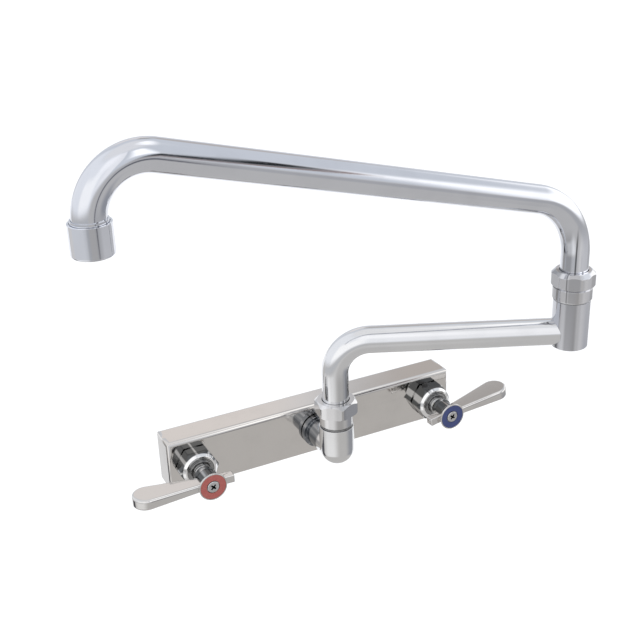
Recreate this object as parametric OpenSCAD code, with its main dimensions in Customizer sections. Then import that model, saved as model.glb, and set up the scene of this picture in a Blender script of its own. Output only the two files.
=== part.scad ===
// Wall faucet with two lever valves and a double-jointed swing spout.
// Millimetres. The origin is the centre of the flat back that lies on the wall.
// X runs to the user's right, Y runs into the wall and Z runs up.

/* [Valve body] */
// Distance between the two valves and between the two inlets
valve_spacing = 203.2; // [160:0.2:240]
// Length of the body beyond each valve axis
body_end = 20.2; // [18:0.1:30]
// Height of the body
body_h = 42; // [38:0.5:60]
// Depth of the body from the wall to its front face
body_d = 25; // [25:0.5:36]
// Radius of the body's rounded edges
body_edge_r = 3.4; // [0.5:0.1:4]
// Radius of each inlet bore in the back
inlet_r = 9.3; // [7:0.1:10.5]
// Depth of each inlet bore
inlet_depth = 9; // [6:0.5:9]
// Radius of the passage that joins both valves to the outlet
gallery_r = 4.2; // [2.5:0.1:4.4]

/* [Bonnets and cartridges] */
// Width across the flats of the bonnet's hexagon
bonnet_af = 27; // [26:0.5:34]
// Length of the bonnet's hexagon
bonnet_hex_l = 12; // [11:0.5:14]
// Outer radius of the ceramic cartridge
cartridge_r = 8.1; // [8:0.1:8.8]
// Thickness of each ceramic disc
disc_t = 2.5; // [2:0.1:2.8]
// Radius of the valve stem
stem_r = 4; // [3.6:0.1:4.4]
// Radius of the sleeve that guides the stem in front of the bonnet
sleeve_r = 7.2; // [6:0.1:7.4]

/* [Lever handles] */
// Distance from the body's front face to the front of the handle
handle_front = 37.8; // [37:0.1:44]
// Radius of the rim around the coloured index ring
handle_rim_r = 10.6; // [10:0.1:13]
// Length of the lever from the stem's axis to its tip
lever_l = 57; // [50:1:90]
// Width of the lever at its rounded tip
lever_tip_w = 21; // [12:0.5:22]
// Width of the lever where it meets the hub
lever_root_w = 11; // [8:0.1:12]
// Thickness of the lever at its tip
lever_tip_t = 8.8; // [6:0.1:10]
// Thickness of the lever where it meets the hub
lever_root_t = 5.8; // [4:0.1:8]
// Lean of the lever towards the wall, in degrees
lever_lean = 3.5; // [0:0.5:10]
// Length of the square tail behind the hub
tail_l = 18; // [14:0.5:26]
// How far the cold handle stands above level when it's shut, in degrees
cold_rise = 7.5; // [0:0.5:10]

/* [Outlet elbow] */
// Distance from the body's front face to the lower swivel axis
outlet_reach = 34.5; // [31:0.5:60]
// Outer radius of the elbow's upright barrel
elbow_r = 13.1; // [13:0.1:15]
// Outer radius of the elbow's neck
neck_r = 11; // [10:0.1:11.5]
// Height of the elbow's shoulder above the middle of the body
elbow_top = 21; // [18:0.5:40]

/* [Spout tubes] */
// Outer radius of the spout tube
tube_r = 10; // [9.6:0.1:10.2]
// Wall thickness of the spout tube
tube_wall = 1; // [0.8:0.1:1.4]
// Reach of the first arm between the swivel axes
arm1_reach = 171; // [100:1:320]
// Height of the first arm above the middle of the body
arm1_h = 90; // [84:1:160]
// Bend radius of the first arm
arm1_bend_r = 26; // [20:1:40]
// Turn of the first arm from the body's line towards the user, in degrees
arm1_turn = 25; // [0:1:90]
// Reach of the second arm from the upper swivel axis to the outlet
arm2_reach = 337; // [200:1:460]
// Height of the second arm above the first, measured at the upper swivel axis
arm2_lift = 96; // [94:1:140]
// Rise of the second arm towards the outlet, in degrees
arm2_slope = 15; // [0:0.5:20]
// Bend radius of the second arm above the upper swivel
arm2_bend_r = 48; // [30:1:48]
// Bend radius of the second arm at the outlet
outlet_bend_r = 32; // [25:0.5:50]
// Direction of the second arm at rest, in degrees from the body's line
arm2_turn = 180; // [150:1:200]

/* [Swivels] */
// Radius of the spigot that turns in each swivel
spigot_r = 8; // [7.4:0.1:8.2]
// Length of the spigot below its flange
spigot_l = 21.5; // [18:0.5:21.5]
// Outer radius of the lower swivel's thread
lower_thread_r = 11.2; // [11:0.1:11.4]
// Width across the flats of the lower swivel nut
lower_nut_af = 29; // [27:0.5:32]
// Outer radius of the lower nut's skirt
lower_skirt_r = 12.5; // [12.3:0.1:13]
// Outer radius of the upper swivel socket
socket_r = 13.3; // [13.2:0.1:15]
// Outer radius of the upper swivel's thread
upper_thread_r = 12.1; // [11.6:0.1:12.5]
// Width across the flats of the upper swivel nut
upper_nut_af = 29.5; // [29:0.5:31]
// Outer radius of the upper nut's skirt
upper_skirt_r = 14.2; // [13.8:0.1:14.4]

/* [Aerator] */
// Outer radius of the aerator's shell
aerator_r = 12.5; // [12.4:0.1:14]
// Length of the aerator's shell
aerator_l = 19; // [18:0.5:26]

/* [Hidden] */
$fn = 64;

// Clearances: overrun of cuts, pieces fixed together, pieces that turn, pieces that run free
cut = 1;
fit_gap = 0.1;
run_gap = 0.06;
free_gap = 0.35;
// Inside corner radius of a hexagon with flats one unit apart
hex_corner_share = 1 / (2 * cos(30));

// Body
body_l = valve_spacing + 2 * body_end;
seat_wall = 2;
seat_hole_r = 5;
pocket_depth = body_d - inlet_depth - seat_wall;
gallery_in = pocket_depth - gallery_r - seat_wall;
outlet_thread_r = 9;
outlet_thread_l = 12;

// Cartridge levels, measured outwards from the body's front face
seal_t = 1.5;
bonnet_thread_r = 11.2;
bonnet_nose_l = 3;
washer_t = 1;
bonnet_front = washer_t + bonnet_hex_l;
bonnet_chamfer = 1.8;
bonnet_corner_r = 15.3;
gland_depth = 4;
gland_r = 10.3;
gland_collar_r = 8.8;
gland_collar_l = 1.6;
cartridge_wall = 1.5;
bore_r = cartridge_r - cartridge_wall;
sleeve_base = -pocket_depth + seal_t;
shoulder = bonnet_front - gland_depth;
sleeve_front = bonnet_front + 6;
sleeve_ring_in = 3;
sleeve_ring_w = 1.2;
sleeve_ring_depth = 0.6;
fixed_disc_front = sleeve_base + disc_t;
turning_disc_front = fixed_disc_front + run_gap + disc_t;
port_r = 2.1;
port_s = turning_disc_front + port_r;
driver_back = port_s + port_r;
driver_l = 6.5;
driver_front = driver_back + driver_l;
driver_r = bore_r - run_gap;
tongue_w = 4;
tongue_l = 9;
tongue_in = 0.8;
o_ring_w = 2;
o_ring_depth = 1.4;
window_r = 5;
window_in = 2.7;
window_half_turn = 35;
clip_gap = 0.15;
clip_t = 0.9;
clip_r = 5.6;
clip_groove = 0.5;
clip_mouth = 60;

// Handle levels and sizes
hub_back = sleeve_front + 1.8;
stem_front = handle_front - 6.8;
square_w = 5.6;
hub_rear_r = 8.2;
hub_waist_r = 7.2;
hub_ring_l = 1.7;
hub_edge = 0.4;
rim_l = 1.6;
flare_l = 4.4;
index_t = 1.2;
index_r = handle_rim_r - 0.9;
index_sunk = 0.15;
screw_head_r = 4.5;
screw_head_t = 3;
screw_r = 2;
screw_l = 14;
screw_rise = 0.3;
recess_w = 1.4;
recess_l = 4.8;
recess_depth = 2;
index_gap = 0.4;
lever_in = 7.5;
lever_s = handle_front - lever_in;
lever_edge = 1.2;
tail_w = 7;
tail_t = 6.2;
tail_dent = 1;
tail_dent_margin = 1.6;

// Elbow and lower swivel
gasket_t = 0.8;
collar_r = 13.4;
collar_l = 4;
waterway_r = 6;
swivel_x = 0;
swivel_y = -body_d - outlet_reach;
thread_l = 10;
nut_washer_t = 1;
lower_washer_t = 1.4;
lower_skirt_l = 9.4;
lower_hex_l = 11;
lower_nut_turn = -14;
lower_nut_corner_r = 16.3;
lower_nut_chamfer = 0.7;
lip_t = 4;
spigot_flange_t = 3;
spigot_wall = 2.8;
plug_l = 10;
spigot_ring_w = 3;
spigot_ring_depth = 1.5;
spigot_ring_1 = 6;
spigot_ring_2 = 15;
lower_neck_top = elbow_top + thread_l;
spigot_bore_l = spigot_l + 1.5;

// Upper swivel
socket_floor = 0.7;
socket_bottom = arm1_h - tube_r - socket_floor;
socket_top = arm1_h + tube_r + 15.5;
socket_edge_r = 1.2;
socket_stop = 9;
upper_skirt_l = 8.9;
upper_hex_l = 12.8;
upper_nut_turn = -12;
upper_nut_corner_r = 15.6;
upper_nut_chamfer = 2;
upper_neck_top = socket_top + thread_l;
arm1_base = lower_neck_top + run_gap + spigot_flange_t;
arm2_base = upper_neck_top + run_gap + spigot_flange_t;

// Second arm: the turns of its bends and the straight runs between them
arm2_h = arm1_h + arm2_lift;
rise_turn = 90 - arm2_slope;
fall_turn = 90 + arm2_slope;
rise_tangent = arm2_bend_r * tan(rise_turn / 2);
fall_tangent = outlet_bend_r * tan(fall_turn / 2);
arm2_riser_l = arm2_h - arm2_base - rise_tangent;
arm2_run = arm2_reach / cos(arm2_slope) - rise_tangent - fall_tangent;
outlet_leg = 7.4;
bend_end_h = arm2_h + arm2_reach * tan(arm2_slope) - fall_tangent;
// A bend's wall is a hair thicker than a run's, and each run ends inside that wall
bend_swell = 0.02;
bend_lap = 0.4;

// Aerator levels, measured downwards from the end of the outlet bend
adapter_r = 11.2;
adapter_shoulder_r = 8.5;
adapter_back = 0.5;
adapter_lip = 1.8;
adapter_lip_r = 10.9;
adapter_l = 11;
aerator_washer_t = 1.5;
aerator_lip_r = 10.2;
aerator_edge_r = 1.4;
core_flange_t = 2;
core_depth = 3.2;
core_hole_r = 0.8;
core_ring_step = 2.6;
core_rings = 3;
screen_t = 0.6;
screen_pitch = 1.7;
screen_wire = 0.5;

// Places
module at_valve(side) {
    translate([side * valve_spacing / 2, -body_d, 0]) rotate([90, 0, 0]) children();
}

module at_outlet() {
    translate([0, -body_d, 0]) rotate([90, 0, 0]) children();
}

module at_lower_swivel() {
    translate([swivel_x, swivel_y, 0]) rotate([0, 0, -arm1_turn]) children();
}

module at_upper_swivel() {
    at_lower_swivel() translate([arm1_reach, 0, 0]) rotate([0, 0, arm1_turn + arm2_turn]) children();
}

module at_outlet_end() {
    at_upper_swivel() translate([arm2_reach, 0, bend_end_h]) children();
}

// Shapes that repeat
module disc(r, from, to) {
    translate([0, 0, from]) cylinder(r = r, h = to - from);
}

module ring(r_out, r_in, from, to) {
    difference() {
        disc(r_out, from, to);
        disc(r_in, from - cut, to + cut);
    }
}

module hexagon(across_flats, from, to) {
    translate([0, 0, from]) cylinder(r = across_flats * hex_corner_share, h = to - from, $fn = 6);
}

// A round bar whose front edge is cut back at 45 degrees, which trims a hexagon's corners
module chamfered_bar(r, from, to, chamfer) {
    rotate_extrude() polygon([
        [0, from], [r, from], [r, to - chamfer], [r - chamfer, to], [0, to]
    ]);
}

module rounded_rectangle(w, h, r) {
    square([w - 2 * r, h], center = true);
    square([w, h - 2 * r], center = true);
    for (x = [-1, 1], y = [-1, 1]) translate([x * (w / 2 - r), y * (h / 2 - r)]) circle(r);
}

module rounded_block(l, d, h, r) {
    intersection() {
        linear_extrude(h, center = true) rounded_rectangle(l, d, r);
        rotate([90, 0, 0]) linear_extrude(d, center = true) rounded_rectangle(l, h, r);
        rotate([90, 0, 90]) linear_extrude(l, center = true) rounded_rectangle(d, h, r);
    }
}

// Tube pieces start at the origin and head along Z. A bend curves towards X.
module tube_section(swell) {
    difference() {
        circle(tube_r + swell);
        circle(tube_r - tube_wall - swell);
    }
}

module tube_run(from, to) {
    translate([0, 0, from]) linear_extrude(to - from) tube_section(0);
}

module tube_bend(r, turn) {
    translate([r, 0, 0]) mirror([1, 0, 0]) rotate([90, 0, 0])
        rotate_extrude(angle = turn) translate([r, 0]) tube_section(bend_swell);
}

module after_bend(r, turn) {
    translate([r * (1 - cos(turn)), 0, r * sin(turn)]) rotate([0, turn, 0]) children();
}

// A seal with flat inner and outer faces and round sides
module seal_ring(r_out, r_in, from, w) {
    rotate_extrude() intersection() {
        translate([(r_out + r_in) / 2, from + w / 2]) circle((r_out - r_in) * 0.72);
        translate([r_in, from]) square([r_out - r_in, w]);
    }
}

// Body and outlet
module valve_body() {
    color("silver") difference() {
        translate([0, -body_d / 2, 0]) rounded_block(body_l, body_d, body_h, body_edge_r);
        for (side = [-1, 1]) at_valve(side) {
            disc(bonnet_thread_r + fit_gap, -pocket_depth, cut);
            disc(seat_hole_r, -body_d, 0);
            disc(inlet_r, -body_d - cut, inlet_depth - body_d);
        }
        at_outlet() disc(outlet_thread_r + fit_gap, -outlet_thread_l - fit_gap, cut);
        translate([-valve_spacing / 2, -body_d + gallery_in, 0]) rotate([0, 90, 0])
            cylinder(r = gallery_r, h = valve_spacing);
    }
}

module elbow_gasket() {
    color("dimgray") at_outlet() ring(neck_r, outlet_thread_r + fit_gap, 0, gasket_t);
}

module outlet_elbow() {
    dome_z = elbow_r - neck_r - 2 * fit_gap;
    color("gainsboro") difference() {
        union() {
            at_outlet() {
                disc(outlet_thread_r, -outlet_thread_l, gasket_t + cut);
                disc(collar_r, gasket_t, gasket_t + collar_l);
                disc(neck_r, gasket_t, outlet_reach);
            }
            translate([swivel_x, swivel_y, 0]) {
                translate([0, 0, dome_z]) sphere(elbow_r);
                disc(elbow_r, dome_z, elbow_top);
                disc(lower_thread_r, dome_z, lower_neck_top);
            }
        }
        at_outlet() disc(waterway_r, -outlet_thread_l - cut, outlet_reach);
        translate([swivel_x, swivel_y, 0]) {
            sphere(waterway_r);
            disc(waterway_r, 0, lower_neck_top);
            disc(spigot_r + run_gap, lower_neck_top - spigot_bore_l, lower_neck_top + cut);
        }
    }
}

// Swivel pieces, each around Z with the thread's top face at the height given
module spigot(neck_top, flange_r) {
    flange = neck_top + run_gap;
    top = flange + spigot_flange_t;
    difference() {
        union() {
            disc(spigot_r, flange - spigot_l, flange);
            disc(flange_r, flange, top);
            disc(tube_r - tube_wall - run_gap, top, top + plug_l);
        }
        disc(spigot_r - spigot_wall, flange - spigot_l - cut, top + plug_l + cut);
        for (s = [spigot_ring_1, spigot_ring_2]) {
            ring(spigot_r + cut, spigot_r - spigot_ring_depth, flange - s - spigot_ring_w, flange - s);
        }
    }
}

module spigot_rings(neck_top) {
    for (s = [spigot_ring_1, spigot_ring_2]) {
        seal_ring(
            spigot_r, spigot_r - spigot_ring_depth,
            neck_top + run_gap - s - spigot_ring_w, spigot_ring_w
        );
    }
}

module slip_ring(neck_top, lip_bottom, r_out) {
    ring(
        r_out, tube_r + fit_gap,
        neck_top + 2 * run_gap + spigot_flange_t, lip_bottom - run_gap
    );
}

module swivel_nut(base, skirt_l, hex_l, skirt_r, af, corner_r, chamfer, thread_r) {
    hex_base = base + skirt_l;
    top = hex_base + hex_l;
    difference() {
        union() {
            disc(skirt_r, base, hex_base + cut);
            intersection() {
                hexagon(af, hex_base, top);
                chamfered_bar(corner_r, hex_base, top, corner_r + chamfer - af / 2);
                mirror([0, 0, 1]) translate([0, 0, -hex_base - top])
                    chamfered_bar(corner_r, hex_base, top, chamfer);
            }
        }
        disc(thread_r + fit_gap, base - cut, top - lip_t);
        disc(tube_r + free_gap, base, top + cut);
    }
}

module lower_nut_washer() {
    color("darkgray") at_lower_swivel()
        ring(lower_skirt_r - fit_gap, lower_thread_r + fit_gap, elbow_top, elbow_top + lower_washer_t);
}

module lower_swivel_nut() {
    color("gainsboro") at_lower_swivel() rotate([0, 0, lower_nut_turn]) swivel_nut(
        elbow_top + lower_washer_t, lower_skirt_l, lower_hex_l,
        lower_skirt_r, lower_nut_af, lower_nut_corner_r, lower_nut_chamfer, lower_thread_r
    );
}

module lower_slip_ring() {
    lip_bottom = elbow_top + lower_washer_t + lower_skirt_l + lower_hex_l - lip_t;
    color("white") at_lower_swivel() slip_ring(lower_neck_top, lip_bottom, lower_thread_r);
}

module lower_spigot() {
    color("gold") at_lower_swivel() spigot(lower_neck_top, lower_thread_r);
}

module lower_o_rings() {
    color("black") at_lower_swivel() spigot_rings(lower_neck_top);
}

// First arm and the socket at its end
module first_arm() {
    riser_l = arm1_h - arm1_base - arm1_bend_r;
    color("gainsboro") at_lower_swivel() translate([0, 0, arm1_base]) {
        tube_run(0, riser_l + bend_lap);
        translate([0, 0, riser_l]) {
            tube_bend(arm1_bend_r, 90);
            after_bend(arm1_bend_r, 90)
                tube_run(-bend_lap, arm1_reach - arm1_bend_r - socket_stop - run_gap);
        }
    }
}

module swivel_socket() {
    color("silver") at_lower_swivel() translate([arm1_reach, 0, 0]) difference() {
        union() {
            rotate_extrude() {
                translate([0, socket_bottom + socket_edge_r])
                    square([socket_r, socket_top - socket_bottom - socket_edge_r]);
                translate([0, socket_bottom]) square([socket_r - socket_edge_r, socket_edge_r + cut]);
                translate([socket_r - socket_edge_r, socket_bottom + socket_edge_r])
                    circle(socket_edge_r);
            }
            disc(upper_thread_r, socket_bottom + socket_edge_r, upper_neck_top);
        }
        disc(spigot_r + run_gap, socket_bottom + socket_floor + tube_wall, upper_neck_top + cut);
        translate([0, 0, arm1_h]) rotate([0, -90, 0]) {
            cylinder(r = tube_r - tube_wall - fit_gap, h = socket_stop + cut);
            translate([0, 0, socket_stop]) cylinder(r = tube_r + run_gap / 2, h = socket_r);
        }
    }
}

module upper_nut_washer() {
    color("darkgray") at_lower_swivel() translate([arm1_reach, 0, 0])
        ring(socket_r - free_gap, upper_thread_r + fit_gap, socket_top, socket_top + nut_washer_t);
}

module upper_swivel_nut() {
    color("silver") at_lower_swivel() translate([arm1_reach, 0, 0])
        rotate([0, 0, upper_nut_turn]) swivel_nut(
            socket_top + nut_washer_t, upper_skirt_l, upper_hex_l,
            upper_skirt_r, upper_nut_af, upper_nut_corner_r, upper_nut_chamfer, upper_thread_r
        );
}

module upper_slip_ring() {
    lip_bottom = socket_top + nut_washer_t + upper_skirt_l + upper_hex_l - lip_t;
    color("white") at_lower_swivel() translate([arm1_reach, 0, 0])
        slip_ring(upper_neck_top, lip_bottom, upper_thread_r);
}

module upper_spigot() {
    color("gold") at_upper_swivel() spigot(upper_neck_top, upper_thread_r);
}

module upper_o_rings() {
    color("black") at_upper_swivel() spigot_rings(upper_neck_top);
}

// Second arm and outlet
module second_arm() {
    color("silver") at_upper_swivel() translate([0, 0, arm2_base]) {
        tube_run(0, arm2_riser_l + bend_lap);
        translate([0, 0, arm2_riser_l]) {
            tube_bend(arm2_bend_r, rise_turn);
            after_bend(arm2_bend_r, rise_turn) {
                tube_run(-bend_lap, arm2_run + bend_lap);
                translate([0, 0, arm2_run]) {
                    tube_bend(outlet_bend_r, fall_turn);
                    after_bend(outlet_bend_r, fall_turn) tube_run(-bend_lap, outlet_leg);
                }
            }
        }
    }
}

module outlet_adapter() {
    color("gold") at_outlet_end() {
        ring(adapter_lip_r, tube_r + fit_gap, -adapter_back, adapter_lip);
        ring(adapter_r, tube_r + run_gap / 2, -outlet_leg, -adapter_back);
        ring(adapter_r, adapter_shoulder_r, -adapter_l - adapter_back, -outlet_leg);
    }
}

module aerator_washer() {
    top = -adapter_l - adapter_back;
    color("black") at_outlet_end() ring(adapter_r, adapter_shoulder_r, top - aerator_washer_t, top);
}

// Square wire gauze in a thin rim
module aerator_screen() {
    top = -adapter_l - adapter_back - aerator_washer_t;
    inside = adapter_shoulder_r - screen_wire;
    count = floor(inside / screen_pitch);
    color("lightgray") at_outlet_end() {
        ring(adapter_r, inside, top - screen_t, top);
        intersection() {
            disc(adapter_shoulder_r, top - screen_t, top);
            translate([0, 0, top - screen_t]) linear_extrude(screen_t)
                for (i = [-count : count], turn = [0, 90]) rotate(turn)
                    translate([i * screen_pitch, 0])
                        square([screen_wire, 2 * adapter_shoulder_r], center = true);
        }
    }
}

module aerator_core() {
    top = -adapter_l - adapter_back - aerator_washer_t - screen_t;
    bottom = top - core_flange_t;
    color("whitesmoke") at_outlet_end() difference() {
        union() {
            disc(adapter_r, bottom, top);
            disc(aerator_lip_r - fit_gap, bottom - core_depth, bottom);
        }
        disc(core_hole_r, bottom - core_depth - cut, top + cut);
        for (i = [1 : core_rings], j = [1 : 6 * i]) {
            rotate(j * 60 / i) translate([i * core_ring_step, 0, 0])
                disc(core_hole_r, bottom - core_depth - cut, top + cut);
        }
    }
}

module aerator_shell() {
    lip = -adapter_l - adapter_back - aerator_washer_t - screen_t - core_flange_t;
    color("silver") at_outlet_end() difference() {
        rotate_extrude() {
            translate([0, aerator_edge_r - aerator_l]) square([aerator_r, aerator_l - aerator_edge_r]);
            translate([0, -aerator_l]) square([aerator_r - aerator_edge_r, aerator_edge_r + cut]);
            translate([aerator_r - aerator_edge_r, aerator_edge_r - aerator_l]) circle(aerator_edge_r);
        }
        disc(adapter_r + fit_gap, lip, cut);
        disc(aerator_lip_r, -aerator_l - cut, 0);
    }
}

// Valve pieces, each along Z with zero at the body's front face
module bonnet() {
    difference() {
        union() {
            intersection() {
                hexagon(bonnet_af, washer_t, bonnet_front);
                chamfered_bar(bonnet_corner_r, washer_t, bonnet_front, bonnet_chamfer + bonnet_corner_r
                    - bonnet_af / 2);
            }
            disc(bonnet_thread_r, -bonnet_nose_l, washer_t + cut);
        }
        disc(cartridge_r + fit_gap, -bonnet_nose_l - cut, bonnet_front);
        disc(gland_r + fit_gap, shoulder, bonnet_front + cut);
    }
}

module bonnet_washer() {
    ring(bonnet_corner_r - bonnet_chamfer, bonnet_thread_r + fit_gap, 0, washer_t);
}

module gland_nut() {
    ring(gland_r, sleeve_r + fit_gap, shoulder, bonnet_front - fit_gap);
    ring(gland_collar_r, sleeve_r + fit_gap, bonnet_front - fit_gap, bonnet_front + gland_collar_l);
}

module seat_seal() {
    ring(cartridge_r, seat_hole_r, -pocket_depth, sleeve_base);
}

module cartridge_sleeve() {
    groove = sleeve_front - sleeve_ring_in;
    difference() {
        union() {
            disc(cartridge_r, sleeve_base, shoulder);
            disc(sleeve_r, sleeve_base, sleeve_front);
        }
        disc(bore_r, sleeve_base - cut, driver_front + run_gap);
        disc(stem_r + run_gap, sleeve_base, sleeve_front + cut);
        translate([0, 0, port_s]) rotate([0, 90, 0])
            cylinder(r = port_r, h = 2 * cartridge_r + cut, center = true);
        ring(sleeve_r + cut, sleeve_r - sleeve_ring_depth, groove - sleeve_ring_w, groove);
    }
}

// Two windows opposite each other, on the X axis
module disc_windows(from, to) {
    translate([0, 0, from]) linear_extrude(to - from) difference() {
        intersection() {
            circle(window_r);
            for (side = [-1, 1]) polygon([
                [0, 0],
                [side * 2 * window_r * cos(window_half_turn), -2 * window_r * sin(window_half_turn)],
                [side * 2 * window_r * cos(window_half_turn), 2 * window_r * sin(window_half_turn)]
            ]);
        }
        circle(window_in);
    }
}

module fixed_disc() {
    difference() {
        disc(bore_r - fit_gap, sleeve_base, fixed_disc_front);
        disc_windows(sleeve_base - cut, fixed_disc_front + cut);
    }
}

// Closed at rest, with its windows a quarter turn from those of the fixed disc
module turning_disc() {
    back = fixed_disc_front + run_gap;
    difference() {
        disc(driver_r, back, turning_disc_front);
        rotate(90) disc_windows(back - cut, turning_disc_front + cut);
        stem_tongue(fit_gap, turning_disc_front + cut);
    }
}

// The flat end of the stem, which reaches into the slot of the turning disc
module stem_tongue(gap, to) {
    from = turning_disc_front - tongue_in - gap;
    translate([0, 0, from]) linear_extrude(to - from)
        square([tongue_l + 2 * gap, tongue_w + 2 * gap], center = true);
}

module stem() {
    groove = sleeve_front + clip_gap;
    difference() {
        union() {
            disc(driver_r, driver_back, driver_front);
            stem_tongue(0, driver_back + cut);
            disc(stem_r, driver_front, hub_back);
            translate([0, 0, hub_back - cut]) linear_extrude(stem_front - hub_back + cut)
                square(square_w, center = true);
        }
        ring(
            driver_r + cut, driver_r - o_ring_depth,
            driver_front - driver_l / 2 - o_ring_w / 2, driver_front - driver_l / 2 + o_ring_w / 2
        );
        ring(stem_r + cut, stem_r - clip_groove, groove, groove + clip_t);
        disc(screw_r + run_gap, handle_front - index_t - screw_l - cut, stem_front + cut);
    }
}

module stem_o_ring() {
    seal_ring(driver_r, driver_r - o_ring_depth, driver_front - driver_l / 2 - o_ring_w / 2, o_ring_w);
}

module stem_clip() {
    from = sleeve_front + clip_gap;
    difference() {
        ring(clip_r, stem_r - clip_groove, from, from + clip_t);
        translate([0, 0, from - cut]) linear_extrude(clip_t + 2 * cut) polygon([
            [0, 0],
            [2 * clip_r * cos(clip_mouth / 2), -2 * clip_r * sin(clip_mouth / 2)],
            [2 * clip_r * cos(clip_mouth / 2), 2 * clip_r * sin(clip_mouth / 2)]
        ]);
    }
}

// The lever's outline from above, meeting its thickness from the side
module lever_paddle() {
    tip_x = lever_l - lever_tip_w / 2;
    intersection() {
        rotate([90, 0, 0]) linear_extrude(2 * lever_tip_t, center = true) {
            polygon([
                [0, -lever_root_w / 2], [tip_x, -lever_tip_w / 2],
                [tip_x, lever_tip_w / 2], [0, lever_root_w / 2]
            ]);
            translate([tip_x, 0]) circle(lever_tip_w / 2);
        }
        linear_extrude(2 * lever_tip_w, center = true) polygon([
            [0, -lever_root_t / 2], [lever_l - lever_edge, -lever_tip_t / 2],
            [lever_l, lever_edge - lever_tip_t / 2], [lever_l, lever_tip_t / 2 - lever_edge],
            [lever_l - lever_edge, lever_tip_t / 2], [0, lever_root_t / 2]
        ]);
    }
}

module lever_tail() {
    difference() {
        translate([-tail_l, -tail_t / 2, -tail_w / 2]) cube([tail_l, tail_t, tail_w]);
        translate([-tail_l - cut, tail_dent_margin - tail_t / 2, tail_dent_margin - tail_w / 2])
            cube([tail_dent + cut, tail_t - 2 * tail_dent_margin, tail_w - 2 * tail_dent_margin]);
    }
}

module lever_hub() {
    rotate_extrude() polygon([
        [0, hub_back], [hub_rear_r - hub_edge, hub_back], [hub_rear_r, hub_back + hub_edge],
        [hub_rear_r, hub_back + hub_ring_l], [hub_waist_r, hub_back + hub_ring_l + hub_edge],
        [hub_waist_r, handle_front - rim_l - flare_l],
        [handle_rim_r - 2 * hub_edge, handle_front - rim_l - hub_edge],
        [handle_rim_r, handle_front - rim_l + hub_edge], [handle_rim_r, handle_front - hub_edge],
        [handle_rim_r - hub_edge, handle_front], [0, handle_front]
    ]);
}

module lever() {
    head_back = handle_front + screw_rise - screw_head_t;
    difference() {
        union() {
            lever_hub();
            translate([0, 0, lever_s]) rotate([0, lever_lean, 0]) {
                lever_paddle();
                lever_tail();
            }
        }
        translate([0, 0, hub_back - cut]) linear_extrude(stem_front - hub_back + cut)
            square(square_w + 2 * fit_gap, center = true);
        disc(screw_r + free_gap, hub_back, handle_front);
        disc(screw_head_r + fit_gap, head_back, handle_front + cut);
        disc(index_r + fit_gap, handle_front - index_t - index_sunk, handle_front + cut);
    }
}

module index_ring() {
    front = handle_front - index_sunk;
    ring(index_r, screw_head_r + index_gap, front - index_t, front);
}

module lever_screw() {
    front = handle_front + screw_rise;
    back = front - screw_head_t;
    difference() {
        union() {
            disc(screw_head_r, back, front - hub_edge);
            translate([0, 0, front - hub_edge])
                cylinder(r1 = screw_head_r, r2 = screw_head_r - hub_edge, h = hub_edge);
            disc(screw_r, handle_front - index_t - screw_l, back);
        }
        for (turn = [45, 135]) rotate(turn) translate([0, 0, front - recess_depth + cut])
            cube([recess_l, recess_w, 2 * cut], center = true);
    }
}

// The hot handle is the same casting as the cold one, turned nearly half round
module at_handle(side) {
    at_valve(side) rotate([0, 0, side < 0 ? 180 : cold_rise]) children();
}

valve_body();
outlet_elbow();
elbow_gasket();
lower_nut_washer();
lower_swivel_nut();
lower_slip_ring();
color("lightgray") at_valve(-1) bonnet();  // hot_bonnet
color("lightgray") at_valve(1) bonnet();  // cold_bonnet
color("white") at_valve(-1) bonnet_washer();  // hot_bonnet_washer
color("white") at_valve(1) bonnet_washer();  // cold_bonnet_washer
color("goldenrod") at_valve(-1) cartridge_sleeve();  // hot_cartridge_sleeve
color("goldenrod") at_valve(1) cartridge_sleeve();  // cold_cartridge_sleeve
color("black") at_valve(-1) seat_seal();  // hot_seat_seal
color("black") at_valve(1) seat_seal();  // cold_seat_seal
color("white") at_valve(-1) fixed_disc();  // hot_fixed_disc
color("white") at_valve(1) fixed_disc();  // cold_fixed_disc
color("dimgray") at_valve(-1) gland_nut();  // hot_gland_nut
color("dimgray") at_valve(1) gland_nut();  // cold_gland_nut
color("ivory") at_handle(-1) turning_disc();  // hot_turning_disc
color("ivory") at_handle(1) turning_disc();  // cold_turning_disc
color("gold") at_handle(-1) stem();  // hot_stem
color("gold") at_handle(1) stem();  // cold_stem
color("black") at_handle(-1) stem_o_ring();  // hot_stem_o_ring
color("black") at_handle(1) stem_o_ring();  // cold_stem_o_ring
color("darkgray") at_handle(-1) stem_clip();  // hot_stem_clip
color("darkgray") at_handle(1) stem_clip();  // cold_stem_clip
color("silver") at_handle(-1) lever();  // hot_lever
color("silver") at_handle(1) lever();  // cold_lever
color("indianred") at_handle(-1) index_ring();  // hot_index_ring
color("darkslateblue") at_handle(1) index_ring();  // cold_index_ring
color("lightgray") at_handle(-1) lever_screw();  // hot_lever_screw
color("lightgray") at_handle(1) lever_screw();  // cold_lever_screw
lower_spigot();
lower_o_rings();
first_arm();
swivel_socket();
upper_nut_washer();
upper_swivel_nut();
upper_slip_ring();
upper_spigot();
upper_o_rings();
second_arm();
outlet_adapter();
aerator_washer();
aerator_screen();
aerator_core();
aerator_shell();
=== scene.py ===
"""Looks of a commercial wall faucet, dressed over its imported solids."""

import logging
import math
from dataclasses import dataclass, field
from enum import Enum
from typing import Any, Callable, Sequence

import bmesh
import bpy
from mathutils import Matrix, Vector


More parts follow.
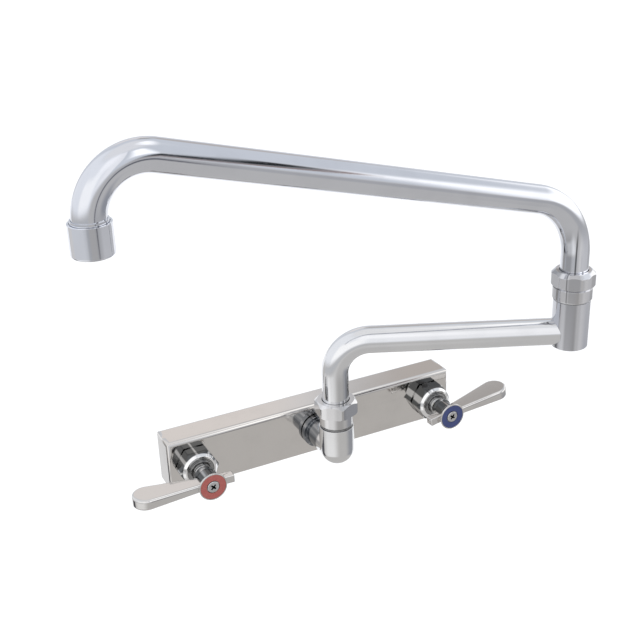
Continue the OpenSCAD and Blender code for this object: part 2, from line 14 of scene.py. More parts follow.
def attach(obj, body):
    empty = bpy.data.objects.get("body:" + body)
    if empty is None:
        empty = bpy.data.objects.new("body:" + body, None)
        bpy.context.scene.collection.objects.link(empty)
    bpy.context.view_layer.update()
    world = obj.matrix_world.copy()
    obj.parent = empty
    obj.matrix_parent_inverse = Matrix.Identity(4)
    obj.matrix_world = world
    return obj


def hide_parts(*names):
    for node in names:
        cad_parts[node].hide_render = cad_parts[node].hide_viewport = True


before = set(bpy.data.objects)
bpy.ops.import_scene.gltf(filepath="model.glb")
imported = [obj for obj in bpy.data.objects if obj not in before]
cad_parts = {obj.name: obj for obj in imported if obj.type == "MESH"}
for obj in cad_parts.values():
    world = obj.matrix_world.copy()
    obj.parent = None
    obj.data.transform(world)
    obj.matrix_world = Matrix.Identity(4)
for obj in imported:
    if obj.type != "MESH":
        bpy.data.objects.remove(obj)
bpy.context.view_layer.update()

log = logging.getLogger("wall_faucet")
MM = 0.001
TO_DEGREES = 57.2958
SHARP_FROM = 28.0
SMOOTH_BELOW = 40.0
Point = tuple[float, float]
Triple = tuple[float, float, float]


class Side(Enum):
    """The two valves, with the sign of their place along X."""

    HOT = -1
    COLD = 1

    @property
    def word(self) -> str:
        """The side's name as the solids have it."""
        return self.name.lower()


class Edge(Enum):
    """How far a sharp edge is rounded, in millimetres."""

    NONE = 0.0
    CRISP = 0.12
    BROKEN = 0.28


def cos_sin(degrees: float) -> tuple[float, float]:
    """The cosine and sine of an angle in degrees."""
    return math.cos(math.radians(degrees)), math.sin(math.radians(degrees))


# Shader building


def operator(operation: str, swapped: bool = False) -> Callable[["Term", Any], "Term"]:
    """Makes one of a term's operators.

    Args:
        operation: The Math node's operation.
        swapped: Whether the term stands on the right.

    Returns:
        The operator.
    """

    def apply(term: "Term", other: Any) -> "Term":
        """Adds the operator's Math node."""
        values = (other, term) if swapped else (term, other)
        return term.book.add("ShaderNodeMath", {"operation": operation}, dict(enumerate(values)))

    return apply


class Term:
    """One value in a shader, which Python's operators turn into Math nodes."""

    __add__, __radd__ = operator("ADD"), operator("ADD", True)
    __sub__, __rsub__ = operator("SUBTRACT"), operator("SUBTRACT", True)
    __mul__, __rmul__ = operator("MULTIPLY"), operator("MULTIPLY", True)
    __truediv__, __pow__ = operator("DIVIDE"), operator("POWER")

    def __init__(self, book: "ShaderBook", socket: Any) -> None:
        """Wraps a node's output socket.

        Args:
            book: The tree that the socket is in.
            socket: The output that carries the value.
        """
        self.book = book
        self.socket = socket

    def math(self, operation: str, *others: Any) -> "Term":
        """Adds a Math node with the term as its first value.

        Args:
            operation: The node's operation.
            others: Its further values or terms.

        Returns:
            The node's result.
        """
        return self.book.add("ShaderNodeMath", {"operation": operation}, dict(enumerate((self, *others))))

    def step(self, low: float, high: float) -> "Term":
        """A smooth step.

        Args:
            low: The value where the step starts.
            high: The value where the step ends.

        Returns:
            0 before the step and 1 after it.
        """
        return self.book.add(
            "ShaderNodeMapRange",
            {"interpolation_type": "SMOOTHSTEP", "clamp": True},
            {"Value": self, "From Min": low, "From Max": high, "To Min": 0.0, "To Max": 1.0},
        )

    def band(self, centre: float, half_width: float, blur: float) -> "Term":
        """A soft band.

        Args:
            centre: The middle of the band.
            half_width: Half its width.
            blur: The width over which each of its edges fades.

        Returns:
            1 in the band and 0 outside.
        """
        rise = self.step(centre - half_width - blur, centre - half_width + blur)
        fall = self.step(centre + half_width - blur, centre + half_width + blur)
        return rise * (1 - fall)


class ShaderBook:
    """A node tree being written."""

    def __init__(self, tree: bpy.types.NodeTree) -> None:
        """Clears the tree.

        Args:
            tree: The tree of a material, a world or a modifier.
        """
        self.tree = tree
        tree.nodes.clear()

    def node(self, kind: str, settings: dict[str, Any], inputs: dict[Any, Any]) -> bpy.types.Node:
        """Adds any node.

        Args:
            kind: The node's type.
            settings: Its settings.
            inputs: Values, terms or sockets by the input's name or number.

        Returns:
            The node.
        """
        made = self.tree.nodes.new(kind)
        for name, value in settings.items():
            setattr(made, name, value)
        for name, value in inputs.items():
            if isinstance(value, Term):
                self.tree.links.new(value.socket, made.inputs[name])
            elif isinstance(value, bpy.types.NodeSocket):
                self.tree.links.new(value, made.inputs[name])
            else:
                made.inputs[name].default_value = value
        return made

    def add(self, kind: str, settings: dict[str, Any], inputs: dict[Any, Any], out: Any = 0) -> Term:
        """Adds any node and takes one of its outputs.

        Args:
            kind: The node's type.
            settings: Its settings.
            inputs: Values, terms or sockets by the input's name or number.
            out: The output's name or number.

        Returns:
            The output as a term.
        """
        return Term(self, self.node(kind, settings, inputs).outputs[out])

    def mix(self, amount: Any, first: Any, second: Any) -> Term:
        """Mixes two colours.

        Args:
            amount: How much of the second colour shows.
            first: The colour at 0.
            second: The colour at 1.

        Returns:
            The mixed colour.
        """
        mixer = self.node("ShaderNodeMix", {"data_type": "RGBA"}, {0: amount})
        for slot, value in ((6, first), (7, second)):
            if isinstance(value, Term):
                self.tree.links.new(value.socket, mixer.inputs[slot])
            else:
                mixer.inputs[slot].default_value = (*value, 1.0)
        return Term(self, mixer.outputs[2])

    def object_point(self) -> Term:
        """The place on the object."""
        return self.add("ShaderNodeTexCoord", {}, {}, "Object")

    def along(self, axes: str) -> list[Term]:
        """The place on the object along some of its axes, in millimetres.

        Args:
            axes: The axes' letters.

        Returns:
            A term for each axis.
        """
        parts = self.node("ShaderNodeSeparateXYZ", {}, {0: self.object_point()})
        return [Term(self, parts.outputs[axis]) / MM for axis in axes]

    def bump(self, strength: float, depth: float, height: Any) -> Term:
        """Adds a bump.

        Args:
            strength: How much of it shows.
            depth: Its depth in millimetres.
            height: Its pattern.

        Returns:
            The surface's direction.
        """
        inputs = {"Strength": strength, "Distance": depth * MM, "Height": height}
        return self.add("ShaderNodeBump", {}, inputs)

    def scaled(self, colour: Any, tone: Any) -> Term:
        """Multiplies a colour by a value.

        Args:
            colour: The colour.
            tone: The value.

        Returns:
            The lighter or darker colour.
        """
        inputs = {0: colour, "Scale": tone}
        return self.add("ShaderNodeVectorMath", {"operation": "SCALE"}, inputs)

    def noise(self, at: Any, scale: float, detail: float = 2.0, roughness: float = 0.5) -> Term:
        """Adds a noise pattern.

        Args:
            at: Where it is read.
            scale: How fine it is.
            detail: Its layers.
            roughness: How much its finer layers show.

        Returns:
            A value around one half.
        """
        inputs = {"Vector": at, "Scale": scale, "Detail": detail, "Roughness": roughness}
        return self.add("ShaderNodeTexNoise", {}, inputs)

    def stretched(self, at: Any, scale: Triple) -> Term:
        """Stretches a pattern's coordinates.

        Args:
            at: The coordinates.
            scale: The scale along each axis.

        Returns:
            The new coordinates.
        """
        return self.add("ShaderNodeMapping", {"vector_type": "TEXTURE"}, {"Vector": at, "Scale": scale})


# Finishes


@dataclass(frozen=True)
class Finish:
    """A surface finish. Colours are linear."""

    title: str
    colour: Triple

    def surface(self, book: ShaderBook) -> dict[str, Any]:
        """Writes the pattern.

        Args:
            book: The material's tree.

        Returns:
            The shader's inputs by name.
        """
        return {"Base Color": (*self.colour, 1.0)}

    def material(self) -> bpy.types.Material:
        """The material, made once.

        Returns:
            The material.
        """
        known = bpy.data.materials.get(self.title)
        if known:
            return known
        made = bpy.data.materials.new(self.title)
        made.use_nodes = True
        book = ShaderBook(made.node_tree)
        shader = book.node("ShaderNodeBsdfPrincipled", {}, self.surface(book))
        book.node("ShaderNodeOutputMaterial", {}, {"Surface": shader.outputs[0]})
        return made


@dataclass(frozen=True)
class Plating(Finish):
    """Bright chrome over polished brass, with a polisher's faint haze and fine scratches."""

    polish: float = 0.05
    haze: float = 0.05
    ripple: float = 0.004
    grain: Triple = (1.0, 1.0, 1.0)
    cloud_scale: float = 38.0
    line_scale: float = 1600.0
    peel_scale: float = 260.0

    def surface(self, book: ShaderBook) -> dict[str, Any]:
        """Writes haze, hairlines and a slight orange peel.

        Args:
            book: The material's tree.

        Returns:
            The shader's inputs by name.
        """
        point = book.object_point()
        lines = book.noise(book.stretched(point, self.grain), self.line_scale, 2.0, 0.6)
        peel = book.noise(point, self.peel_scale, 1.0)
        wear = book.noise(point, self.cloud_scale, 3.0).step(0.42, 0.72)
        rough = self.polish + self.haze * wear + 0.05 * lines.step(0.55, 0.8)
        darker = tuple(0.93 * c for c in self.colour)
        return {
            "Base Color": book.mix(wear * 0.6, self.colour, darker),
            "Metallic": 1.0,
            "Roughness": rough,
            "Normal": book.bump(0.12, self.ripple, peel + 0.35 * lines),
        }


@dataclass(frozen=True)
class CrowdedPlating(Plating):
    """Plating that is darker towards the wall, for the dark reflections that the photo shows there."""

    # Colour of the painted dark reflection towards the wall; streaks sets how much lighter painted streaks
    # break it up.
    reflection_dark: Triple = (0.085, 0.088, 0.09)
    bright_from: float = -46.0
    blur: float = 2.0
    valve_x: float = 0.0
    reach: float = 0.0
    streaks: float = 0.7
    streak_scale: float = 330.0

    def surface(self, book: ShaderBook) -> dict[str, Any]:
        """Writes the painted dark reflection, broken by lighter streaks, over the plating.

        Args:
            book: The material's tree.

        Returns:
            The shader's inputs by name.
        """
        inputs = super().surface(book)
        x, y, z = book.along("XYZ")
        reflection_dark = y.step(self.bright_from, self.bright_from + self.blur)
        if self.reach:
            across = x.math("ABSOLUTE") - self.valve_x
            away = (across**2.0 + z**2.0) ** 0.5
            reflection_dark = reflection_dark * (1 - away.step(self.reach - 0.6, self.reach + 0.6))
        streaks = book.noise(book.stretched(book.object_point(), (1.0, 30.0, 1.0)), self.streak_scale, 0.0)
        amount = reflection_dark * (1 - self.streaks * streaks.step(0.56, 0.74))
        inputs["Base Color"] = book.mix(amount, inputs["Base Color"], self.reflection_dark)
        return inputs


@dataclass(frozen=True)
class Stripe:
    """A painted reflection stripe, lighter or darker, up an upright piece, in degrees from its front and
    positive to the left.
    """

    turn: float
    half_turn: float
    blur: float
    shade: float


@dataclass(frozen=True)
class StripedPlating(Plating):
    """Plating with soft stripes up a piece, which stand for reflections that the photo shows."""

    axis: tuple[float, float] = (0.0, 0.0)
    facing: float = 0.0
    stripes: tuple[Stripe, ...] = ()
    fades: tuple[float, float] = (900.0, 901.0)

    def surface(self, book: ShaderBook) -> dict[str, Any]:
        """Writes the painted reflection stripes over the plating.

        Args:
            book: The material's tree.

        Returns:
            The shader's inputs by name.
        """
        inputs = super().surface(book)
        x, y, z = book.along("XYZ")
        x, y = x - self.axis[0], y - self.axis[1]
        c, s = cos_sin(self.facing)
        left, front = y * s - x * c, 0 - x * s - y * c
        around = left.math("ARCTAN2", front) * TO_DEGREES
        shown = 1 - z.step(*self.fades)
        tone = 1.0
        for stripe in self.stripes:
            mask = around.band(stripe.turn, stripe.half_turn, stripe.blur) * shown
            tone = (1 - mask * (1 - stripe.shade)) * tone
        inputs["Base Color"] = book.scaled(inputs["Base Color"], tone)
        return inputs


@dataclass(frozen=True)
class EndedPlating(Plating):
    """Plating with a painted darker reflection on a casting's flat ends, as the photo shows them."""

    end_x: float = 121.8
    shade: float = 0.63

    def surface(self, book: ShaderBook) -> dict[str, Any]:
        """Writes the painted darker reflection on the ends over the plating.

        Args:
            book: The material's tree.

        Returns:
            The shader's inputs by name.
        """
        inputs = super().surface(book)
        (x,) = book.along("X")
        end = x.math("ABSOLUTE").step(self.end_x - 0.6, self.end_x - 0.1)
        inputs["Base Color"] = book.scaled(inputs["Base Color"], 1 - end * (1 - self.shade))
        return inputs


@dataclass(frozen=True)
class Enamel(Finish):
    """Glossy colour filled into the handle's front, a little uneven."""

    worn: Triple = (0.3, 0.2, 0.2)
    mottle_scale: float = 900.0
    speck_scale: float = 4200.0

    def surface(self, book: ShaderBook) -> dict[str, Any]:
        """Writes mottled colour under a clear gloss.

        Args:
            book: The material's tree.

        Returns:
            The shader's inputs by name.
        """
        point = book.object_point()
        mottle = book.noise(point, self.mottle_scale, 3.0)
        speck = book.noise(point, self.speck_scale, 1.0)
        return {
            "Base Color": book.mix(mottle.step(0.35, 0.75) * 0.5, self.colour, self.worn),
            "Roughness": 0.32 + 0.14 * speck,
            "Coat Weight": 0.25,
            "Normal": book.bump(0.1, 0.02, mottle),
        }


@dataclass(frozen=True)
class Metal(Finish):
    """Bare machined metal with turning marks."""

    polish: float = 0.28
    tarnish: Triple = (0.3, 0.2, 0.1)
    spot_scale: float = 220.0
    mark_scale: float = 2600.0

    def surface(self, book: ShaderBook) -> dict[str, Any]:
        """Writes tarnish and tool marks.

        Args:
            book: The material's tree.

        Returns:
            The shader's inputs by name.
        """
        point = book.object_point()
        spots = book.noise(point, self.spot_scale, 4.0)
        marks = book.noise(book.stretched(point, (1.0, 12.0, 1.0)), self.mark_scale, 2.0)
        return {
            "Base Color": book.mix(spots.step(0.4, 0.75) * 0.5, self.colour, self.tarnish),
            "Metallic": 1.0,
            "Roughness": self.polish + 0.14 * marks,
            "Normal": book.bump(0.2, 0.01, marks),
        }


@dataclass(frozen=True)
class DarkRecess(Metal):
    """Machined metal with painted shade in its recess, behind its front face."""

    front: float = -62.95
    # Colour of the painted shade inside the recess.
    recess_shade: Triple = (0.012, 0.012, 0.012)

    def surface(self, book: ShaderBook) -> dict[str, Any]:
        """Writes the painted recess shade over the metal.

        Args:
            book: The material's tree.

        Returns:
            The shader's inputs by name.
        """
        inputs = super().surface(book)
        (y,) = book.along("Y")
        depth = y - self.front
        inputs["Base Color"] = book.mix(depth.step(0.25, 0.6), inputs["Base Color"], self.recess_shade)
        return inputs


@dataclass(frozen=True)
class Moulded(Finish):
    """Rubber, plastic or ceramic with a fine surface."""

    polish: float = 0.5
    pore: float = 1800.0

    def surface(self, book: ShaderBook) -> dict[str, Any]:
        """Writes fine pores and slight shade changes.

        Args:
            book: The material's tree.

        Returns:
            The shader's inputs by name.
        """
        pores = book.noise(book.object_point(), self.pore, 2.0)
        shade = tuple(0.78 * c for c in self.colour)
        return {
            "Base Color": book.mix(pores.step(0.35, 0.8) * 0.6, self.colour, shade),
            "Roughness": self.polish + 0.2 * (pores - 0.5),
            "Normal": book.bump(0.25, 0.02, pores),
        }


LOWER_AXIS = (0.0, -59.5)
UPPER_AXIS = (155.0, -131.8)
OUTLET_AXIS = (-182.0, -131.8)
LOWER_FACING, UPPER_FACING, OUTLET_FACING = 26.8, 40.6, 13.0
TUBE_GRAIN = (14.0, 1.0, 1.0)

# The chromes are one plating: their different base colours, warm on the body, bluish on the spout, light on
# the bonnets and dark in the valve and gland chromes, are painted reflection and painted shade.
BODY_CHROME = EndedPlating("body chrome", (0.69, 0.668, 0.648), grain=(12.0, 1.0, 1.0))
VALVE_CHROME = Plating("valve chrome", (0.50, 0.50, 0.50), haze=0.03)
BONNET_CHROME = CrowdedPlating(
    "bonnet chrome", (0.86, 0.86, 0.86), haze=0.03, bright_from=-36.6, blur=0.6,
    streaks=0.5,
)
LEVER_CHROME = CrowdedPlating(
    "lever chrome", (0.68, 0.667, 0.655), polish=0.07, bright_from=-58.2, blur=2.5, valve_x=101.6, reach=8.7
)
ELBOW_CHROME = CrowdedPlating(
    "elbow chrome", (0.73, 0.73, 0.735), polish=0.09, reflection_dark=(0.2, 0.21, 0.225), bright_from=-47.0, blur=3.0,
    streaks=0.3,
)
SPOUT_CHROME = Plating("spout chrome", (0.70, 0.715, 0.76), polish=0.06, grain=TUBE_GRAIN)
FIRST_CHROME = StripedPlating(
    "first arm chrome", (0.76, 0.765, 0.78), polish=0.08, grain=TUBE_GRAIN, axis=LOWER_AXIS,
    facing=LOWER_FACING, fades=(58.0, 74.0),
    stripes=(Stripe(34, 12, 6, 1.15), Stripe(-26, 18, 10, 0.78), Stripe(-62, 14, 4, 0.55)),
)
SECOND_CHROME = StripedPlating(
    "second arm chrome", (0.70, 0.715, 0.76), polish=0.06, grain=TUBE_GRAIN, axis=UPPER_AXIS,
    facing=UPPER_FACING, fades=(156.0, 176.0),
    stripes=(Stripe(36, 24, 6, 0.66), Stripe(-5, 3, 2, 0.22), Stripe(-38, 22, 6, 1.3)),
)
LOWER_NUT_CHROME = StripedPlating(
    "lower nut chrome", (0.66, 0.655, 0.66), polish=0.08, axis=LOWER_AXIS, facing=LOWER_FACING,
    stripes=(Stripe(-12, 14, 8, 0.8), Stripe(36, 8, 5, 1.2)),
)
UPPER_NUT_CHROME = StripedPlating(
    "upper nut chrome", (0.68, 0.68, 0.70), polish=0.08, axis=UPPER_AXIS, facing=UPPER_FACING,
    stripes=(
        Stripe(60, 22, 6, 0.54), Stripe(16, 1.5, 1.2, 0.45), Stripe(-4, 16, 4, 0.74), Stripe(-44, 15, 6, 1.3),
    ),
)
SOCKET_CHROME = StripedPlating(
    "socket chrome", (0.68, 0.69, 0.73), polish=0.06, axis=UPPER_AXIS, facing=UPPER_FACING,
    stripes=(Stripe(60, 27, 6, 0.78), Stripe(0, 17, 5, 0.66), Stripe(-50, 22, 5, 1.22)),
)
OUTLET_CHROME = StripedPlating(
    "outlet chrome", (0.70, 0.715, 0.76), polish=0.06, axis=OUTLET_AXIS, facing=OUTLET_FACING,
    stripes=(Stripe(42, 28, 9, 1.3), Stripe(-3, 14, 3, 0.84), Stripe(-46, 22, 6, 1.25)),
)
GLAND_CHROME = Plating("gland chrome", (0.30, 0.30, 0.30), polish=0.12)
STEEL = Metal("stainless steel", (0.55, 0.55, 0.55), 0.24, (0.40, 0.39, 0.38))
SCREW_STEEL = DarkRecess("screw steel", (0.60, 0.60, 0.61), 0.2, (0.42, 0.41, 0.40))
BRASS = Metal("machined brass", (0.62, 0.45, 0.20), 0.3, (0.36, 0.22, 0.08))
RUBBER = Moulded("black rubber", (0.02, 0.02, 0.02), 0.6)
WASHER = Moulded("white washer plastic", (0.72, 0.71, 0.68), 0.45)
PLASTIC = Moulded("white insert plastic", (0.70, 0.71, 0.72), 0.4)
CERAMIC = Moulded("lapped ceramic", (0.83, 0.81, 0.74), 0.25, 3200.0)
HOT_RED = Enamel("hot red enamel", (0.36, 0.085, 0.075), worn=(0.43, 0.14, 0.12))
COLD_BLUE = Enamel("cold blue enamel", (0.03, 0.045, 0.15), worn=(0.045, 0.07, 0.21))


# Mesh building


def placed(*steps: Matrix) -> Matrix:
    """Chains places from the outside in.

    Args:
        steps: The places.

    Returns:
        Their product.
    """
    whole = Matrix.Identity(4)
    for step in steps:
        whole = whole @ step
    return whole


def at(x: float = 0.0, y: float = 0.0, z: float = 0.0) -> Matrix:
    """A shift in millimetres."""
    return Matrix.Translation((x, y, z))


def turned_about(axis: str, degrees: float) -> Matrix:
    """A turn about one axis."""
    return Matrix.Rotation(math.radians(degrees), 4, axis)


def softened(loop: Sequence[Triple], steps: int = 4) -> list[Point]:
    """Rounds the corners of a closed outline.

    Args:
        loop: Points as x, y and corner radius.
        steps: How many pieces each rounded corner has.

    Returns:
        The outline's points.
    """
    out: list[Point] = []
    count = len(loop)
    for i in range(count):
        here = Vector(loop[i][:2])
        before = Vector(loop[i - 1][:2]) - here
        after = Vector(loop[(i + 1) % count][:2]) - here
        radius = loop[i][2]
        if radius <= 0 or before.length < 1e-6 or after.length < 1e-6:
            out.append(tuple(here))
            continue
        half = before.angle(after) / 2
        reach = min(radius / math.tan(half), 0.45 * before.length, 0.45 * after.length)
        start, end = here + before.normalized() * reach, here + after.normalized() * reach
        for k in range(steps + 1):
            t = k / steps
            out.append(tuple((1 - t) ** 2 * start + 2 * t * (1 - t) * here + t * t * end))
    return out


@dataclass
class Workpiece:
    """One piece's mesh on its way from raw shape to dressed object. Sizes are millimetres."""

    name: str
    node: str
    body: str
    finish: Finish
    mesh: bmesh.types.BMesh = field(default_factory=bmesh.new)

    def turned(self, loop: Sequence[Point], place: Matrix, steps: int = 128) -> "Workpiece":
        """Adds a piece turned on a lathe.

        Args:
            loop: The closed section as radius and height.
            place: Where the piece's axis stands.
            steps: How many columns it has.

        Returns:
            The workpiece.
        """
        return self.columned([loop] * steps, [360 * i / steps for i in range(steps)], place)

    def columned(
        self, loops: Sequence[Sequence[Point]], turns: Sequence[float], place: Matrix
    ) -> "Workpiece":
        """Adds a ring of sections that may differ from column to column.

        Args:
            loops: One closed section for each column, with equal numbers of points.
            turns: The columns' directions, in degrees.
            place: Where the ring's axis stands.

        Returns:
            The workpiece.
        """
        made = bmesh.new()
        rows = []
        for loop, turn in zip(loops, turns):
            c, s = cos_sin(turn)
            rows.append([made.verts.new((r * c, r * s, z)) for r, z in loop])
        count = len(rows[0])
        for i, row in enumerate(rows):
            following = rows[(i + 1) % len(rows)]
            for k in range(count):
                after = (k + 1) % count
                made.faces.new([row[k], following[k], following[after], row[after]])
        return self.joined(made, place)

    def hexed(
        self, flats: float, corner_r: float, column: Callable[[float], list[Point]], place: Matrix
    ) -> "Workpiece":
        """Adds a nut whose section follows the radius of its hexagon.

        Args:
            flats: Width across the flats.
            corner_r: The radius that trims the corners.
            column: Gives the closed section for a radius.
            place: Where the nut's axis stands.

        Returns:
            The workpiece.
        """
        turns, radii = zip(*hexagon_columns(flats, corner_r))
        return self.columned([column(radius) for radius in radii], turns, place)

    def slab(
        self, top: Sequence[Triple], place: Matrix, edge_r: float, dent: float = 0.0
    ) -> "Workpiece":
        """Adds a plate with rounded edges that is symmetric about its middle plane.

        Args:
            top: The outline as x, y and half thickness.
            place: Where the plate is.
            edge_r: The radius of its edges.
            dent: How far its left end is sunk, inside a narrow rim.

        Returns:
            The workpiece.
        """
        made, count, steps = bmesh.new(), len(top), 5
        inward = []
        for i in range(count):
            along = Vector(top[(i + 1) % count][:2]) - Vector(top[i - 1][:2])
            inward.append(Vector((-along.y, along.x)).normalized())
        middle = sum((Vector(p[:2]) for p in top), Vector((0, 0))) / count
        if inward[0].dot(middle - Vector(top[0][:2])) < 0:
            inward = [-way for way in inward]
        rows = []
        for k in [*range(steps, -1, -1), *range(-1, -steps - 2, -1)]:
            rise = k if k >= 0 else -1 - k
            angle = math.pi / 2 * rise / steps
            inset, drop = edge_r * (1 - math.cos(angle)), edge_r * (1 - math.sin(angle))
            sign = 1 if k >= 0 else -1
            rows.append([
                made.verts.new((x + way.x * inset, y + way.y * inset, sign * (z - drop)))
                for (x, y, z), way in zip(top, inward)
            ])
        for row, following in zip(rows, rows[1:]):
            for i in range(count):
                j = (i + 1) % count
                made.faces.new([row[j], row[i], following[i], following[j]])
        made.faces.new(rows[0])
        made.faces.new(list(reversed(rows[-1])))
        if dent:
            end = min(made.faces, key=lambda face: (round(face.calc_center_median().x, 3), -face.calc_area()))
            bmesh.ops.inset_individual(made, faces=[end], thickness=0.8)
            bmesh.ops.translate(made, verts=end.verts, vec=(dent, 0, 0))
        return self.joined(made, place)

    def joined(self, made: bmesh.types.BMesh, place: Matrix) -> "Workpiece":
        """Takes in another mesh with its faces turned outwards.

        Args:
            made: The mesh, which is used up.
            place: Where it goes.

        Returns:
            The workpiece.
        """
        bmesh.ops.remove_doubles(made, verts=made.verts, dist=1e-5)
        bmesh.ops.recalc_face_normals(made, faces=made.faces)
        if made.calc_volume(signed=True) < 0:
            bmesh.ops.reverse_faces(made, faces=made.faces)
        bmesh.ops.transform(made, matrix=place, verts=made.verts)
        part = bpy.data.meshes.new(self.name)
        made.to_mesh(part)
        made.free()
        self.mesh.from_mesh(part)
        bpy.data.meshes.remove(part)
        return self

    def copied(self) -> "Workpiece":
        """Takes in a welded copy of its solid's mesh, with its flat faces made whole.

        Returns:
            The workpiece.
        """
        self.mesh.from_mesh(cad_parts[self.node].data)
        bmesh.ops.transform(self.mesh, matrix=Matrix.Scale(1 / MM, 4), verts=self.mesh.verts)
        bmesh.ops.remove_doubles(self.mesh, verts=self.mesh.verts, dist=1e-4)
        bmesh.ops.dissolve_limit(
            self.mesh, angle_limit=math.radians(0.3), verts=self.mesh.verts, edges=self.mesh.edges
        )
        return self

    def finished(self, edge: Edge = Edge.NONE) -> None:
        """Turns the workpiece into a dressed object that rides on its body.

        Args:
            edge: How far its sharp edges are rounded.
        """
        bmesh.ops.transform(self.mesh, matrix=Matrix.Scale(MM, 4), verts=self.mesh.verts)
        data = bpy.data.meshes.new(self.name)
        self.mesh.to_mesh(data)
        self.mesh.free()
        piece = linked(self.name, data)
        data.materials.append(self.finish.material())
        if edge is not Edge.NONE:
            bevel = piece.modifiers.new("edges", "BEVEL")
            bevel.width = edge.value * MM
            bevel.segments = 2
            bevel.limit_method = "ANGLE"
            bevel.angle_limit = math.radians(SHARP_FROM)
            bevel.use_clamp_overlap = True
            bevel.miter_outer = "MITER_ARC"
            bake_modifiers(piece)
        data = piece.data
        data.shade_smooth()
        data.set_sharp_from_angle(angle=math.radians(SMOOTH_BELOW))
        even = piece.modifiers.new("even", "WEIGHTED_NORMAL")
        even.keep_sharp = True
        bake_modifiers(piece)
        dressed(piece, self.body, [self.node])


def linked(name: str, data: Any) -> bpy.types.Object:
    """Puts an object into the scene.

    Args:
        name: Its name.
        data: Its mesh, light or camera.

    Returns:
        The object.
    """
    made = bpy.data.objects.new(name, data)
    bpy.context.scene.collection.objects.link(made)
    return made


def bake_modifiers(piece: bpy.types.Object) -> None:
    """Makes the result of a piece's modifiers its plain mesh.

    Args:
        piece: The object.
    """
    graph = bpy.context.evaluated_depsgraph_get()
    result = bpy.data.meshes.new_from_object(piece.evaluated_get(graph), depsgraph=graph)
    old, piece.data = piece.data, result
    name = old.name
    bpy.data.meshes.remove(old)
    result.name = name
    piece.modifiers.clear()


def dressed(piece: bpy.types.Object, body: str, nodes: Sequence[str]) -> None:
    """Makes a piece ride on its body and stand for its solids.

    Args:
        piece: The object.
        body: The body.
        nodes: The solids that it stands for.
    """
    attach(piece, body)
    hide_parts(*nodes)
    log.info("%s: %d faces on %s", piece.name, len(piece.data.polygons), body)


def keep(node: str, finish: Finish) -> None:
    """Gives a solid that shows as it is its finish.

    Args:
        node: The solid.
        finish: Its finish.
    """
    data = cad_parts[node].data
    data.materials.clear()
    data.materials.append(finish.material())
    for polygon in data.polygons:
        polygon.material_index = 0


# Geometry Nodes


def sweep_tree(title: str, finish: Finish, sides: int) -> bpy.types.NodeTree:
    """Writes a tree that sweeps a round skin along a path of edges.

    Args:
        title: The tree's name.
        finish: The finish that its last node sets.
        sides: How many sides the skin has.

    Returns:
        The tree. Its inputs are the path and the outer radius.
    """
    tree = bpy.data.node_groups.new(title, "GeometryNodeTree")
    book = ShaderBook(tree)
    ports = (
        ("Geometry", "INPUT", "Geometry"), ("Outer radius", "INPUT", "Float"),
        ("Geometry", "OUTPUT", "Geometry"),
    )
    for name, way, kind in ports:
        tree.interface.new_socket(name, in_out=way, socket_type=f"NodeSocket{kind}")
    source = book.node("NodeGroupInput", {}, {}).outputs
    path = book.add("GeometryNodeMeshToCurve", {}, {"Mesh": source["Geometry"]})
    circle = {"Resolution": sides, "Radius": source["Outer radius"]}
    section = book.add("GeometryNodeCurvePrimitiveCircle", {}, circle)
    sweep = {"Curve": path, "Profile Curve": section, "Fill Caps": False}
    skin = book.add("GeometryNodeCurveToMesh", {}, sweep)
    real = book.add("GeometryNodeRealizeInstances", {}, {"Geometry": skin})
    made = book.add("GeometryNodeSetMaterial", {}, {"Geometry": real, "Material": finish.material()})
    book.node("NodeGroupOutput", {}, {"Geometry": made})
    return tree


